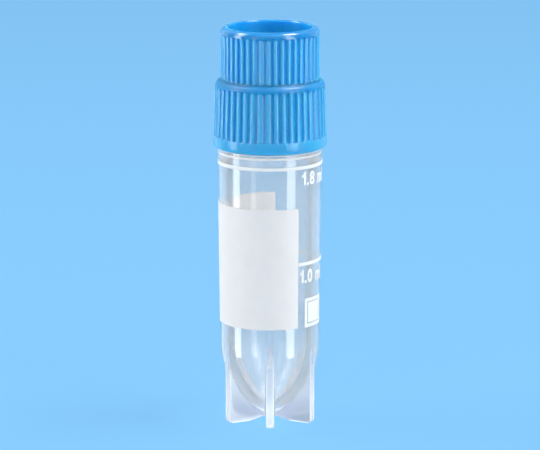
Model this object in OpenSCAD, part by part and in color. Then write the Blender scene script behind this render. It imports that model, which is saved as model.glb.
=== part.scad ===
// Self-standing cryogenic vial: a round-bottomed tube on a star foot, closed by a two-tier screw cap.
// Millimetres. The axis of the vial is Z, it stands on Z = 0, and its front faces -Y.

/* [Tube] */
// Outside diameter of the tube just under its shoulder
tube_d = 12.5; // [10:0.1:16]
// How much smaller that diameter is where the round bottom begins
tube_taper = 0.55; // [0:0.05:1]
// Wall thickness, the same down the side and round the bottom
wall = 1.45; // [1.1:0.05:1.8]
// Height of the shoulder that the cap stops above
shoulder_z = 33.3; // [22:0.1:60]
// Radius of the edge of the shoulder
shoulder_round = 0.25; // [0.1:0.05:0.5]
// Radius of the long arc that draws the side in to the round bottom
bottom_r = 10.2; // [8:0.1:13]
// Radius of the nose that closes the round bottom
nose_r = 3.2; // [2:0.1:4]
// Height of the nose over the standing surface
nose_z = 0.64; // [0.5:0.01:2]

/* [Neck] */
// How far the neck is set in from the side of the tube
neck_step = 0.77; // [0.6:0.01:1]
// Height of the neck from the shoulder to the rim
neck_h = 6.9; // [6:0.1:12]
// Radius of the two edges of the rim
rim_round = 0.15; // [0.05:0.05:0.25]

/* [Thread] */
// Rise of the cap in one full turn
thread_lead = 3; // [2:0.1:4]
// Number of thread starts
thread_starts = 2; // [1:1:3]
// How far a thread stands out from the neck, and from the inside of the cap
thread_depth = 0.3; // [0.2:0.05:0.4]
// Width of a thread at its root
thread_root_w = 0.84; // [0.6:0.02:0.9]
// Width of a thread at its crest
thread_crest_w = 0.4; // [0.2:0.02:0.5]
// Turns of each thread on the neck
neck_thread_turns = 1.25; // [0.75:0.05:2]
// Turns of each thread in the cap
cap_thread_turns = 1; // [0.5:0.05:1.5]
// Height of the first neck thread over the shoulder
neck_thread_start = 2.1; // [1.2:0.1:3]

/* [Star foot] */
// Number of fins
fin_count = 6; // [3:1:8]
// Thickness of a fin at its outer edge
fin_tip_t = 0.93; // [0.6:0.01:1.5]
// Thickness of a fin at the axis
fin_root_t = 1.2; // [0.6:0.01:2]
// How far the outer edge of a fin is set in from the side of the tube
fin_inset = 0.05; // [0.04:0.005:1]
// Radius of the outer bottom corner of a fin
fin_corner_r = 0.6; // [0.2:0.05:1.5]
// Reach of the hollow arch under the middle of the foot, from the axis
arch_reach = 2.9; // [1.5:0.1:4]
// Height of that arch at the axis
arch_h = 0.42; // [0.2:0.02:0.48]

/* [Cap] */
// Thickness of the cap over the mouth of the tube
ceiling_t = 1.16; // [0.8:0.02:2]
// Depth of the open recess in the top, down from the rim
recess_depth = 6; // [3:0.1:8]
// Wall of the skirt at the bottom of its grooves, under the ceiling
skirt_wall = 0.52; // [0.4:0.01:1]
// How much wider the skirt is in radius at its foot than under the step
skirt_flare = 0.225; // [0:0.005:0.4]
// Wall of the upper tier
collar_wall = 0.95; // [0.7:0.05:1.5]
// Share of that wall that the rim's broad outer rounding takes
rim_share = 0.76; // [0.4:0.02:0.8]
// Step in radius from the lower tier to the upper tier
tier_step = 0.65; // [0.3:0.05:0.85]
// Radius of the rounded step between the tiers
step_round = 0.9; // [0.86:0.02:1.2]
// How far the upper tier runs below the floor of the recess
collar_drop = 0.3; // [0:0.05:0.5]
// Radius of the outer bottom edge of the skirt
skirt_round = 0.5; // [0.2:0.05:0.6]

/* [Grip grooves] */
// Grooves round each tier
groove_count = 44; // [24:2:52]
// Degrees that the rib nearest the front is turned from it
groove_turn = -1.8; // [-7:0.1:7]
// Depth of a groove
groove_depth = 0.2; // [0.1:0.01:0.3]
// Radius of the round cutter that shapes a groove
groove_r = 0.21; // [0.2:0.01:0.3]
// Smooth band above the upper grooves, down from where the rim's rounding begins
rim_band = 0.02; // [0.02:0.02:1.5]
// Smooth band below the lower grooves, up from the foot of the skirt
skirt_band = 1.4; // [0.8:0.05:2]
// How far the upper grooves stop above the step between the tiers
step_band = 0.1; // [0.05:0.05:1]

/* [Plug and sealing ring] */
// Depth of the plug under the ceiling
plug_depth = 1.6; // [1.2:0.1:3]
// Wall of the plug
plug_wall = 0.6; // [0.4:0.05:1]
// Thickness of the silicone sealing ring
seal_t = 0.6; // [0.4:0.05:1]

/* [Clearances] */
// Between the foot of the cap and the shoulder of the tube
shoulder_gap = 0.2; // [0.1:0.05:0.5]
// Between a thread's crest and the wall that it faces
thread_gap = 0.1; // [0.08:0.01:0.15]
// Between the plug and the mouth of the tube, all round
plug_gap = 0.17; // [0.1:0.01:0.3]
// Between the sealing ring and the plug or the skirt, all round
seal_gap = 0.08; // [0.04:0.01:0.12]
// Above and below the sealing ring
seal_float = 0.02; // [0.01:0.01:0.04]

/* [Print] */
// Thickness of the printed ink
ink_t = 0.05; // [0.02:0.01:0.1]
// Bare tube under the writing panel, up from where the round bottom begins
panel_low_margin = 2.78; // [1:0.01:8]
// Bare tube over the writing panel, up to the shoulder
panel_high_margin = 6.45; // [3:0.1:12]
// Right-hand edge of the writing panel, in degrees from the front
panel_edge = 33.5; // [0:0.5:60]
// Degrees that the writing panel covers, from that edge round by the left
panel_span = 221; // [90:1:250]
// Width of a printed graduation line
line_w = 0.4; // [0.2:0.05:0.6]
// Distance of the upper graduation line below the shoulder; it goes all the way round
upper_line_drop = 1.55; // [0.8:0.1:6]
// Distance between the two graduation lines
line_spacing = 11.75; // [4:0.05:14]
// Degrees that the lower line covers, from the writing panel round by the right
lower_line_span = 138; // [20:1:139]

/* [Hidden] */
$fn = 96;
FRONT = -90; // the angle of the front of the vial, seen from above
CUT = 1; // how far a cutter reaches past what it cuts
SINK = 0.1; // how far a thread's root is sunk into its wall
STEPS_PER_TURN = 36; // flat steps in one turn of a thread
FADE_STEPS = 6; // steps over which a thread's end runs out
SEAM = 0.5; // degrees left free between the lower line and the writing panel

tube_r = tube_d / 2;
low_r = tube_r - tube_taper / 2; // outside radius where the round bottom begins
arc_x = low_r - bottom_r; // centre of the long arc, across the axis
nose_centre_z = nose_z + nose_r;
arc_z = nose_centre_z + sqrt(pow(bottom_r - nose_r, 2) - arc_x * arc_x); // where the round bottom begins
nose_angle = atan2(nose_centre_z - arc_z, -arc_x); // where the nose runs into the long arc
side_slope = (tube_r - low_r) / (shoulder_z - shoulder_round - arc_z);

rim_z = shoulder_z + neck_h;
neck_r = tube_r - neck_step;
mouth_r = side_r(rim_z) - wall;

skirt_r = neck_r + thread_depth + thread_gap; // inside of the skirt
skirt_z = shoulder_z + shoulder_gap; // foot of the skirt
ceiling_z = rim_z + seal_t + 2 * seal_float; // underside of the ceiling
recess_z = ceiling_z + ceiling_t; // floor of the recess
top_z = recess_z + recess_depth;
tier_r = skirt_r + skirt_wall + groove_depth; // outside of the lower tier, under the step
collar_r = tier_r - tier_step; // outside of the upper tier
recess_r = collar_r - collar_wall;
rim_outer_r = collar_wall * rim_share;
rim_inner_r = collar_wall * (0.95 - rim_share);
foot_r = tier_r + skirt_flare; // outside of the skirt at its foot
step_top_z = recess_z - collar_drop;
step_z = step_top_z - sqrt(pow(step_round, 2) - pow(step_round - tier_step, 2));
plug_r = mouth_r - plug_gap;

panel_low_z = arc_z + panel_low_margin;
panel_high_z = shoulder_z - panel_high_margin;
upper_line_z = shoulder_z - upper_line_drop;
lower_line_z = upper_line_z - line_spacing;

thread_pitch = thread_lead / thread_starts;
neck_thread_z = shoulder_z + neck_thread_start;
cap_thread_z = neck_thread_z - thread_pitch / 2; // half a pitch down, between the neck threads

// Outside radius of the tube's side at a height.
function side_r(z) = low_r + side_slope * (z - arc_z);

// Points along an arc, from one angle to another.
function arc(centre, r, from, to, steps) =
    [for (i = [0:steps]) let (a = from + (to - from) * i / steps) centre + r * [cos(a), sin(a)]];

// Half outline of the round bottom, from the axis up to where the side begins, moved in by inset.
function round_bottom(inset) = concat(
    arc([0, nose_centre_z], nose_r - inset, -90, nose_angle, 6),
    [for (i = [1:12]) let (a = nose_angle * (1 - i / 12))
        [arc_x, arc_z] + (bottom_r - inset) * [cos(a), sin(a)]]
);

// One thread: a ridge that climbs round the axis, with its root at root_r and its crest at crest_r.
// Its ends run out into the wall. A crest_r smaller than root_r points the ridge inwards.
module thread_ridge(root_r, crest_r, start_z, turns) {
    steps = round(turns * STEPS_PER_TURN);
    inwards = crest_r < root_r;
    function fade(i) = max(0.05, min(1, i / FADE_STEPS, (steps - i) / FADE_STEPS));
    function section(crest) = [
        [root_r, -thread_root_w / 2],
        [crest, -thread_crest_w / 2],
        [crest, thread_crest_w / 2],
        [root_r, thread_root_w / 2]
    ];
    points = [
        for (i = [0:steps])
            let (
                a = i * 360 / STEPS_PER_TURN,
                z = start_z + thread_lead * i / STEPS_PER_TURN
            )
            for (p = section(root_r + (crest_r - root_r) * fade(i)))
                [p[0] * cos(a), p[0] * sin(a), z + p[1]]
    ];
    sides = [
        for (i = [0:steps - 1], k = [0:3])
            let (a = 4 * i + k, b = 4 * i + (k + 1) % 4)
            each [[a, b, b + 4], [a, b + 4, a + 4]]
    ];
    last = 4 * steps;
    ends = [[0, 2, 1], [0, 3, 2], [last, last + 1, last + 2], [last, last + 2, last + 3]];
    faces = concat(sides, ends);
    polyhedron(points, inwards ? [for (f = faces) [f[2], f[1], f[0]]] : faces, convexity = 6);
}

module threads(root_r, crest_r, start_z, turns) {
    for (k = [0:thread_starts - 1])
        rotate([0, 0, k * 360 / thread_starts])
            thread_ridge(root_r, crest_r, start_z, turns);
}

// The tube filled in solid, from the nose to the rim.
module tube_body() {
    rotate_extrude()
        polygon(concat(
            round_bottom(0),
            arc([tube_r - shoulder_round, shoulder_z - shoulder_round], shoulder_round, 0, 90, 4),
            [[neck_r, shoulder_z]],
            arc([neck_r - rim_round, rim_z - rim_round], rim_round, 0, 90, 4),
            [[0, rim_z]]
        ));
}

// The space inside the tube, with the rounded inner edge of the rim.
module tube_cavity() {
    edge = mouth_r + rim_round;
    rotate_extrude()
        polygon(concat(
            round_bottom(wall),
            arc([edge, rim_z - rim_round], rim_round, 180, 90, 4),
            [[edge, rim_z + CUT], [0, rim_z + CUT]]
        ));
}

// One fin of the star foot, pointing along +X.
module fin() {
    tip = low_r - fin_inset;
    arch_r = (arch_reach * arch_reach + arch_h * arch_h) / (2 * arch_h);
    arch_angle = asin(arch_reach / arch_r);
    top = arc_z;
    intersection() {
        rotate([90, 0, 0])
            linear_extrude(height = 2 * fin_root_t, center = true)
                polygon(concat(
                    arc([0, arch_h - arch_r], arch_r, 90, 90 - arch_angle, 6),
                    arc([tip - fin_corner_r, fin_corner_r], fin_corner_r, -90, 0, 6),
                    [[tip, top], [0, top]]
                ));
        linear_extrude(height = top)
            polygon([
                [0, -fin_root_t / 2],
                [tip, -fin_tip_t / 2],
                [tip, fin_tip_t / 2],
                [0, fin_root_t / 2]
            ]);
    }
}

module tube() {
    color([0.86, 0.91, 0.95, 0.6]) {
        difference() {
            union() {
                tube_body();
                for (k = [0:fin_count - 1])
                    rotate([0, 0, FRONT + k * 360 / fin_count])
                        fin();
                threads(neck_r - SINK, neck_r + thread_depth, neck_thread_z, neck_thread_turns);
            }
            tube_cavity();
        }
    }
}

// The cap turned on its axis: skirt, step, upper tier, recess and plug, with no grooves or thread.
module cap_body() {
    rotate_extrude()
        polygon(concat(
            [[skirt_r + SINK, skirt_z]],
            arc([foot_r - skirt_round, skirt_z + skirt_round], skirt_round, -90, 0, 5),
            arc([tier_r - step_round, step_z], step_round, 0, acos(1 - tier_step / step_round), 6),
            arc([collar_r - rim_outer_r, top_z - rim_outer_r], rim_outer_r, 0, 90, 8),
            arc([recess_r + rim_inner_r, top_z - rim_inner_r], rim_inner_r, 90, 180, 4),
            [
                [recess_r, recess_z],
                [0, recess_z],
                [0, ceiling_z],
                [plug_r - plug_wall, ceiling_z],
                [plug_r - plug_wall, ceiling_z - plug_depth],
                [plug_r - SINK, ceiling_z - plug_depth],
                [plug_r, ceiling_z - plug_depth + 2 * SINK],
                [plug_r, ceiling_z],
                [skirt_r, ceiling_z],
                [skirt_r, skirt_z + 2 * SINK]
            ]
        ));
}

// A ring of round grooves, cut to groove_depth below a side that runs from one radius to another.
module grooves(low_radius, low_z, high_radius, high_z) {
    lean = atan2(high_radius - low_radius, high_z - low_z);
    length = norm([high_radius - low_radius, high_z - low_z]);
    for (k = [0:groove_count - 1])
        rotate([0, 0, FRONT + groove_turn + (k + 0.5) * 360 / groove_count])
            translate([low_radius - groove_depth + groove_r, 0, low_z])
                rotate([0, lean, 0])
                    cylinder(r = groove_r, h = length);
}

module cap() {
    side_z = skirt_z + skirt_round;
    flare = (foot_r - tier_r) / (step_z - side_z);
    grooves_z = skirt_z + skirt_band;
    color([0.2, 0.58, 0.85]) {
        difference() {
            cap_body();
            grooves(foot_r - flare * (grooves_z - side_z), grooves_z, tier_r, step_z + groove_depth / 2);
            grooves(collar_r, step_top_z + step_band, collar_r, top_z - rim_outer_r - rim_band);
        }
        threads(skirt_r + SINK, skirt_r - thread_depth, cap_thread_z, cap_thread_turns);
    }
}

module sealing_ring() {
    inner_r = plug_r + seal_gap;
    outer_r = skirt_r - seal_gap;
    color([0.93, 0.93, 0.9])
        translate([0, 0, rim_z + seal_float])
            difference() {
                cylinder(r = outer_r, h = seal_t);
                translate([0, 0, -CUT])
                    cylinder(r = inner_r, h = seal_t + 2 * CUT);
            }
}

// A film of ink on the tapered side of the tube, from one angle right of the front, for span degrees.
module ink_film(low_z, high_z, from, span) {
    rotate([0, 0, FRONT + from])
        rotate_extrude(angle = span)
            polygon([
                [side_r(low_z), low_z],
                [side_r(low_z) + ink_t, low_z],
                [side_r(high_z) + ink_t, high_z],
                [side_r(high_z), high_z]
            ]);
}

module writing_panel() {
    color([0.94, 0.95, 0.97])
        ink_film(panel_low_z, panel_high_z, panel_edge - panel_span, panel_span);
}

module graduation_marks() {
    color([0.97, 0.98, 1]) {
        ink_film(upper_line_z - line_w / 2, upper_line_z + line_w / 2, 0, 360);
        ink_film(lower_line_z - line_w / 2, lower_line_z + line_w / 2, panel_edge + SEAM, lower_line_span);
    }
}

tube();
cap();
sealing_ring();
writing_panel();
graduation_marks();
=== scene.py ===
import math

import bmesh
import bpy
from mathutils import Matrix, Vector


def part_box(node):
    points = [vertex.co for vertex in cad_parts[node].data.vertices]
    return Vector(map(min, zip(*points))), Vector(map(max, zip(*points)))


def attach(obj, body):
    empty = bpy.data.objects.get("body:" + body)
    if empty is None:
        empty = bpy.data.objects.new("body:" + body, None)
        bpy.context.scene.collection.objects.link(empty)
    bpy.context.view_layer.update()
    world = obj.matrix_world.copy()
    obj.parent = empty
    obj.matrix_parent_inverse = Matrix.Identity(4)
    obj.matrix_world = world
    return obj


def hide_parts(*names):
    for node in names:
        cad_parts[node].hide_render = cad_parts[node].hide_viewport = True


# A cryovial: a clear tube on a star foot, a blue screw cap, a silicone ring and white print.
# Pieces are modelled in millimetres about the vial's axis, then brought down to metres.

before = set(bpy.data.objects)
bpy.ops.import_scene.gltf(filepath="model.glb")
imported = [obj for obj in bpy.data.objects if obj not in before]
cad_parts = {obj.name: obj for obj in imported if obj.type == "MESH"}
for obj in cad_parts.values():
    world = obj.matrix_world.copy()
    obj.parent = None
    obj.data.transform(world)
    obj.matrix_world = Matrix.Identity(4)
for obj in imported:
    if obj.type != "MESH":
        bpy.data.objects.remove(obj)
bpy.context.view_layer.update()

perMetre = 1000
near = 0.0001  # points closer than this count as one
fullTurn, quarterTurn = 2 * math.pi, math.pi / 2
front = -quarterTurn  # the way the vial's front faces
smoothUnder = math.radians(32)  # edges flatter than this are shaded smooth


def millimetreBox(node):
    low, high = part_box(node)
    return low * perMetre, high * perMetre


tubeHigh = millimetreBox("tube")[1]
capLow, capHigh = millimetreBox("cap")
sealLow, sealHigh = millimetreBox("sealing_ring")
panelLow, panelHigh = millimetreBox("writing_panel")
marksLow, marksHigh = millimetreBox("graduation_marks")


def deselectAll():
    if bpy.context.object and bpy.context.object.mode != "OBJECT":
        bpy.ops.object.mode_set(mode="OBJECT")
    bpy.ops.object.select_all(action="DESELECT")


def nameNew(name):
    bpy.context.object.name = name
    return bpy.context.object


def makeActive(piece):
    deselectAll()
    piece.select_set(True)
    bpy.context.view_layer.objects.active = piece


def startEdit(piece):
    makeActive(piece)
    bpy.ops.object.mode_set(mode="EDIT")
    bpy.ops.mesh.select_mode(type="VERT")
    bpy.ops.mesh.select_all(action="DESELECT")


def endEdit():
    bpy.ops.object.mode_set(mode="OBJECT")


def selectAll():
    bpy.ops.mesh.select_all(action="SELECT")


def selectWhere(piece, wanted):
    # picks the points for which wanted(place) holds, and the edges and faces between them
    work = bmesh.from_edit_mesh(piece.data)
    for point in work.verts:
        point.select = wanted(point.co)
    work.select_flush_mode()
    bmesh.update_edit_mesh(piece.data)


def mergeDoubles(distance=near):
    selectAll()
    bpy.ops.mesh.remove_doubles(threshold=distance)


def faceOutwards():
    selectAll()
    bpy.ops.mesh.normals_make_consistent(inside=False)


def closeSeams(distance=near):
    mergeDoubles(distance)
    faceOutwards()


def turnSelected(angle):
    # with no window the operator turns the other way, so a positive angle here is clockwise from above
    bpy.ops.transform.rotate(value=angle, orient_axis="Z", center_override=(0, 0, 0))


def spinSelected(angle, steps, copies=False):
    bpy.ops.mesh.spin(steps=steps, angle=angle, dupli=copies, use_auto_merge=False, use_normal_flip=False,
                      center=(0, 0, 0), axis=(0, 0, 1))


def copyRound(count):
    # repeats the mesh evenly round the axis
    selectAll()
    spinSelected(fullTurn * (count - 1) / count, count - 1, copies=True)
    closeSeams()


def tidyMesh(piece, smallest=0.001):
    # takes out the slivers that a join leaves
    startEdit(piece)
    selectAll()
    bpy.ops.mesh.dissolve_degenerate(threshold=smallest)
    closeSeams(smallest)
    endEdit()


def applyModifier(piece, kind, **values):
    makeActive(piece)
    modifier = piece.modifiers.new(kind, kind)
    for name, value in values.items():
        setattr(modifier, name, value)
    bpy.ops.object.modifier_apply(modifier=modifier.name)


def applyPlace():
    bpy.ops.object.transform_apply(location=True, rotation=True, scale=True)


def joinPieces(pieces):
    # joins pieces into the first one
    deselectAll()
    for piece in pieces:
        piece.select_set(True)
    bpy.context.view_layer.objects.active = pieces[0]
    bpy.ops.object.join()
    return pieces[0]


def drawProfile(name, points):
    # a line of points (radius, height), drawn by pulling one point along
    deselectAll()
    bpy.ops.mesh.primitive_plane_add(size=1)
    piece = nameNew(name)
    startEdit(piece)
    selectAll()
    bpy.ops.mesh.merge(type="CENTER")
    bpy.ops.transform.translate(value=(points[0][0], 0, points[0][1]))
    for (fromR, fromZ), (toR, toZ) in zip(points, points[1:]):
        bpy.ops.mesh.extrude_vertices_move(TRANSFORM_OT_translate={"value": (toR - fromR, 0, toZ - fromZ)})
    return piece


def arcPoints(centre, radius, fromAngle, toAngle, steps, skipFirst=False):
    # points (radius, height) along an arc, angles in degrees
    found = []
    for i in range(1 if skipFirst else 0, steps + 1):
        angle = math.radians(fromAngle + (toAngle - fromAngle) * i / steps)
        found.append((centre[0] + radius * math.cos(angle), centre[1] + radius * math.sin(angle)))
    return found


def wayTo(angle):
    return Vector((math.cos(angle), math.sin(angle)))


def lerp(a, b, t):
    return a + (b - a) * t


def finishPiece(piece, body, node):
    makeActive(piece)
    bpy.ops.transform.resize(value=(1 / perMetre,) * 3, center_override=(0, 0, 0))
    applyPlace()
    bpy.ops.object.shade_smooth_by_angle(angle=smoothUnder)
    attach(piece, body)
    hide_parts(node)
    deselectAll()


tubeSizes = {
    "shoulderGap": 0.06,     # the cap stops this far above the shoulder
    "taper": 0.275,          # how much the radius falls from the shoulder to the round bottom
    "wall": 1.45,
    "shoulderRound": 0.06,
    "arcR": 10.2,            # long arc that draws the side in
    "arcBreak": -16,         # degrees down this arc, where the rows of points come closer
    "noseR": 3.2,
    "noseZ": 0.64,
    "neckR": 5.48,
    "neckFillet": 0.12,
    "neckMiddle": 3.0,       # a ring of points this far up the neck
    "rimRound": 0.15,
    "threadStart": 1.9,      # above the foot of the cap
    "threadTurns": 1.25,
    "finCount": 6,
    "finReach": 5.97,
    "finTipHalf": 0.465,
    "finRootHalf": 0.6,
    "finEdge": 0.15,         # rounding of a fin's upright edges
    "finFillet": 0.2,        # where a fin meets the round bottom
    "finCorner": 0.6,        # outer bottom corner
    "finFootEdge": 0.1,      # rounding round the standing faces
    "archReach": 3.2,        # hollow under the middle of the star
    "archHeight": 0.62,
    "topOfFoot": 10.6,
    "starR": 1.32,           # radius at which the round bottom runs into the star
    "bayR": 2.2,             # the middle of a bay is inside this radius
    "soleSlant": 0.55,       # how far the lines across a standing face lean in
    "upperRows": (10.2, 9.9, 9.65),  # heights of rows and rings of points
    "lowerRows": (0.78, 0.66, 0.6, 0.52, 0.42, 0.33, 0.25, 0.19, 0.14),
    "soleRows": (0.3, 0.65, 1.0),  # shares of the way in from the edge
    "sideRings": (14, 18, 22, 26, 30),
    "innerRings": (36, 31, 26, 21, 16, 12),
    "milkyTop": 7.4,         # the end of a fin is milky up to here, and its two edges higher up, to the next height: the milky lines there are painted highlights along the rounded edges
    "finAndEdgeHighlightTop": 9.5,
    "milkyMiddle": 0.3,      # half of the width that stops at milkyTop
    "milkySole": 0.15,       # height of the milky band at the standing faces
    "milkyCollar": 0.6,      # height of the milky band under the shoulder
    "tipDepth": 0.17,        # the end of a fin goes this far in
    "tipMargin": 0.01,
    "finFrom": 0.05,         # a face this far outside the round bottom belongs to a fin
    "collarFrom": 0.05,      # and one up to this far over the shoulder to the collar
    "necklineDrop": 0.23,    # fine groove round the side: its middle is this far under the shoulder
    "neckline": ((0, 0.14), (0.09, 0.07), (0.09, -0.07), (0, -0.12)),  # depths, and drops below its middle
    "necklineHalf": 0.04,    # the clear part of the groove
}
threadSizes = {"lead": 3.0, "starts": 2, "depth": 0.3, "rootWidth": 0.84, "crestWidth": 0.4,
               "crestRound": 0.08, "flank": 0.07, "flankShare": 0.3, "sink": 0.1, "stepsPerTurn": 48,
               "fadeSteps": 8, "endShare": 0.05}

shoulderZ = capLow.z - tubeSizes["shoulderGap"]
shoulderR = tubeHigh.x
lowR = shoulderR - tubeSizes["taper"]
arcX = lowR - tubeSizes["arcR"]
noseCentre = tubeSizes["noseZ"] + tubeSizes["noseR"]
arcZ = noseCentre + math.sqrt((tubeSizes["arcR"] - tubeSizes["noseR"]) ** 2 - arcX ** 2)
noseAngle = math.degrees(math.atan2(noseCentre - arcZ, -arcX))
noseJoinZ = noseCentre + tubeSizes["noseR"] * math.sin(math.radians(noseAngle))
sideSlope = (shoulderR - lowR) / (shoulderZ - tubeSizes["shoulderRound"] - arcZ)


def sideR(z):
    return lowR + sideSlope * (z - arcZ)


def bowlR(z):
    # outer radius of the side and the round bottom, with no fins
    if z >= arcZ:
        return sideR(z)
    if z >= noseJoinZ:
        return arcX + math.sqrt(tubeSizes["arcR"] ** 2 - (z - arcZ) ** 2)
    if z > tubeSizes["noseZ"]:
        return math.sqrt(tubeSizes["noseR"] ** 2 - (noseCentre - z) ** 2)
    return 0.0


footColumns = {  # columns of points in half of one fin's sixth
    "all": 24, "flat": 2, "corner": 4, "sideMost": 8, "filletMost": 4,
    "least": 0.09,           # they never stand closer than this
    "filletFrom": 2.0,       # below this radius of the round bottom a fillet is not held back
    "filletShare": 0.98,     # how much of its room a fillet may take
    "settle": 6,             # rounds in which a fillet finds its centre
}
tipColumns = footColumns["flat"] + footColumns["corner"]


def filletCentre(bowl, fillet, half, slope, bay):
    # centre of the fillet between the round bottom and a fin's side
    x = bowl
    for i in range(footColumns["settle"]):
        inside = (bowl + fillet) ** 2 - (half(x) + fillet) ** 2
        if inside <= 0:
            break
        x = math.sqrt(inside)
    centre = Vector((x, half(x) + fillet))
    if inside <= 0 or math.atan2(centre.y, centre.x) > bay:
        x = (half(0) + fillet) / (math.tan(bay) - slope)
        centre = Vector((x, x * math.tan(bay)))
    return centre


def footOutline(z, inset, sizes):
    # half of one fin's sixth of the outline at height z, from the fin's middle to the next bay's middle
    flatSteps, restSteps = footColumns["flat"], footColumns["all"] - tipColumns
    bay = math.pi / sizes["finCount"]
    bowl = bowlR(z)
    drop = max(sizes["finCorner"] - z, 0)
    reach = sizes["finReach"] - sizes["finCorner"] + math.sqrt(sizes["finCorner"] ** 2 - drop ** 2)
    slope = (sizes["finTipHalf"] - sizes["finRootHalf"]) / sizes["finReach"]
    edge = sizes["finEdge"]

    def half(x):
        return sizes["finRootHalf"] + slope * x - inset

    cornerX, cornerY = reach - edge, half(reach) - edge
    places = [(reach, cornerY * i / flatSteps) for i in range(flatSteps + 1)]
    places += arcPoints((cornerX, cornerY), edge, 0, 90, footColumns["corner"], skipFirst=True)
    outer = [Vector(place) for place in places]
    outer = [place if place.length >= bowl else place * (bowl / place.length) for place in outer]

    side = Vector((cornerX, half(cornerX)))
    if side.length <= bowl:  # the fin is still inside the wall
        first = math.atan2(side.y, side.x)
        return outer + [wayTo(lerp(first, bay, i / restSteps)) * bowl for i in range(1, restSteps + 1)]

    fillet = sizes["finFillet"] + inset
    if bowl > footColumns["filletFrom"]:
        room = (side.length ** 2 - bowl ** 2) / (2 * (bowl - side.y))
        fillet = min(fillet, footColumns["filletShare"] * room)
    centre = filletCentre(bowl, fillet, half, slope, bay)
    turn = math.atan2(centre.y, centre.x)
    lengths = [cornerX - centre.x, fillet * (quarterTurn - turn), bowl * max(bay - turn, 0)]
    least = footColumns["least"]
    onSide = min(footColumns["sideMost"], lengths[0] / least)
    onFillet = min(footColumns["filletMost"], lengths[1] / least)
    onBowl = restSteps - onSide - onFillet
    if lengths[2] / least < onBowl:
        onBowl = lengths[2] / least
        onFillet = restSteps - onSide - onBowl
    for i in range(1, restSteps + 1):
        if i <= onSide:
            x = lerp(cornerX, centre.x, i / onSide)
            outer.append(Vector((x, half(x))))
        elif i <= onSide + onFillet + near:
            angle = lerp(3 * quarterTurn, math.pi + turn, (i - onSide) / onFillet)
            outer.append(centre + wayTo(angle) * fillet)
        else:
            outer.append(wayTo(lerp(turn, bay, (i - onSide - onFillet) / onBowl)) * bowl)
    return outer


def archZ(reach, sizes):
    return sizes["archHeight"] * max(1 - (reach / sizes["archReach"]) ** 2, 0) ** 2


def footRows(sizes):
    # every row of the foot's half bay, from the top down and in under the standing face
    columns, edge = footColumns["all"], sizes["finFootEdge"]
    heights = [sizes["topOfFoot"], *sizes["upperRows"]]
    starAngle = -math.degrees(math.acos(sizes["starR"] / sizes["noseR"]))
    curve = arcPoints((arcX, arcZ), sizes["arcR"], 0, sizes["arcBreak"], steps=20)
    curve += arcPoints((arcX, arcZ), sizes["arcR"], sizes["arcBreak"], noseAngle, steps=24, skipFirst=True)
    curve += arcPoints((0, noseCentre), sizes["noseR"], noseAngle, starAngle, steps=4, skipFirst=True)
    heights += [z for r, z in curve]
    starZ = heights[-1]
    outlines = [(z, 0.0) for z in (*heights, *sizes["lowerRows"])]
    outlines += [(edge - z, edge - r) for r, z in arcPoints((0, 0), edge, 0, 90, steps=4)]
    rows = [[(place.x, place.y, z) for place in footOutline(z, inset, sizes)] for z, inset in outlines]
    last = rows[-1]
    inner = [x - sizes["soleSlant"] * y if j <= tipColumns else x for j, (x, y, z) in enumerate(last)]
    bayStart = next(j for j in range(tipColumns + 1, columns + 1) if math.hypot(*last[j][:2]) < sizes["bayR"])
    for j in range(bayStart, columns + 1):
        inner[j] = inner[bayStart - 1] * (columns - j) / (columns - bayStart + 1)
    for share in sizes["soleRows"]:
        rows.append([(lerp(x, inX, share), lerp(y, 0.0, share), 0.0) for (x, y, z), inX in zip(last, inner)])

    def overArch(x, y, z):
        if z < starZ:
            z = lerp(archZ(math.hypot(x, y), sizes), starZ, z / starZ)
        return Vector((x, y, z))

    return [[overArch(*place) for place in row] for row in rows]


def makeFootBay(sizes):
    columns, rows = footColumns["all"], footRows(sizes)
    deselectAll()
    bpy.ops.mesh.primitive_grid_add(x_subdivisions=columns, y_subdivisions=len(rows) - 1, size=2)
    bay = nameNew("vialTube")
    for point in bay.data.vertices:
        column = round((point.co.x + 1) / 2 * columns)
        row = round((1 - point.co.y) / 2 * (len(rows) - 1))
        point.co = rows[row][column]
    return bay


def tubeProfile(sizes):
    # rings (radius, height) from the top of the foot up the side, over the rim and down the inside
    wall, fillet, edge = sizes["wall"], sizes["neckFillet"], sizes["rimRound"]
    shoulderRound, neckR, rimZ = sizes["shoulderRound"], sizes["neckR"], tubeHigh.z
    rings = [(sideR(z), z) for z in (*sizes["sideRings"], marksHigh.z, shoulderZ - sizes["milkyCollar"])]
    grooveZ = shoulderZ - sizes["necklineDrop"]
    rings += [(sideR(grooveZ) - depth, grooveZ - down) for depth, down in sizes["neckline"]]
    rings += arcPoints((shoulderR - shoulderRound, shoulderZ - shoulderRound), shoulderRound, 0, 90, steps=5)
    rings += arcPoints((neckR + fillet, shoulderZ + fillet), fillet, 270, 180, steps=3)
    rings += [(neckR, shoulderZ + sizes["neckMiddle"])]
    rings += arcPoints((neckR - edge, rimZ - edge), edge, 0, 90, steps=4)
    mouthR, floorR, mouthZ = sideR(rimZ) - wall, lowR - wall, rimZ - edge
    rings += arcPoints((mouthR + edge, mouthZ), edge, 90, 180, steps=4)
    rings += [(lerp(floorR, mouthR, (z - arcZ) / (mouthZ - arcZ)), z) for z in sizes["innerRings"]]
    rings += arcPoints((arcX, arcZ), sizes["arcR"] - wall, 0, noseAngle, steps=22)
    rings += arcPoints((0, noseCentre), sizes["noseR"] - wall, noseAngle, -90, steps=7, skipFirst=True)
    return rings


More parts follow.
